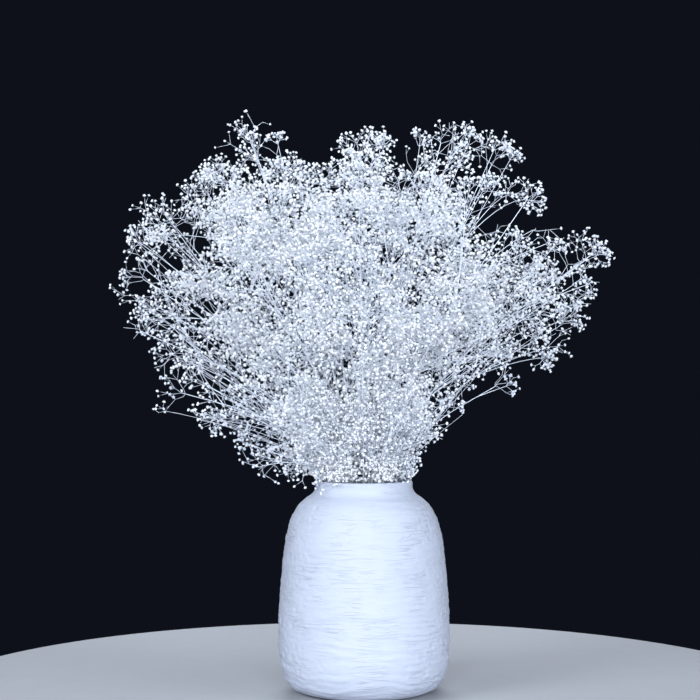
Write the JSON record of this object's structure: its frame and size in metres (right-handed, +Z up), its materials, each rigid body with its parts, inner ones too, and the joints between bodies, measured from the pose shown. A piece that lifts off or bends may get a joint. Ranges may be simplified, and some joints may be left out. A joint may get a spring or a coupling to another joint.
{
  "type": "gypsophila bunch in a vase",
  "caption": "Airy spreading bunch of bleached white gypsophila, with forked stems and tiny florets, standing in a bulbous matt white ceramic vase.",
  "frame": {"origin": "middle of the vase's flat base, on the vase's axis", "axes": "+Z up along the vase's axis, -Y towards the viewer of the front, +X to that viewer's right"},
  "size_m": [0.4982, 0.4058, 0.5748],
  "materials": {
    "vase_ceramic": "matt unglazed white with fine brushed grooves round it",
    "gypsophila": "bleached and preserved, matt off-white petals and stems"
  },
  "bodies": {
    "root": {"vase": "vase_ceramic", "spray_01": "gypsophila", "spray_02": "gypsophila", "spray_03": "gypsophila", "spray_04": "gypsophila", "spray_05": "gypsophila", "spray_06": "gypsophila", "spray_07": "gypsophila", "spray_08": "gypsophila", "spray_09": "gypsophila", "spray_10": "gypsophila", "spray_11": "gypsophila", "spray_12": "gypsophila", "spray_13": "gypsophila", "spray_14": "gypsophila", "spray_15": "gypsophila", "spray_16": "gypsophila", "spray_17": "gypsophila", "spray_18": "gypsophila", "spray_19": "gypsophila", "spray_20": "gypsophila", "spray_21": "gypsophila", "spray_22": "gypsophila", "spray_23": "gypsophila", "spray_24": "gypsophila", "spray_25": "gypsophila", "spray_26": "gypsophila"}
  },
  "joints": []
}
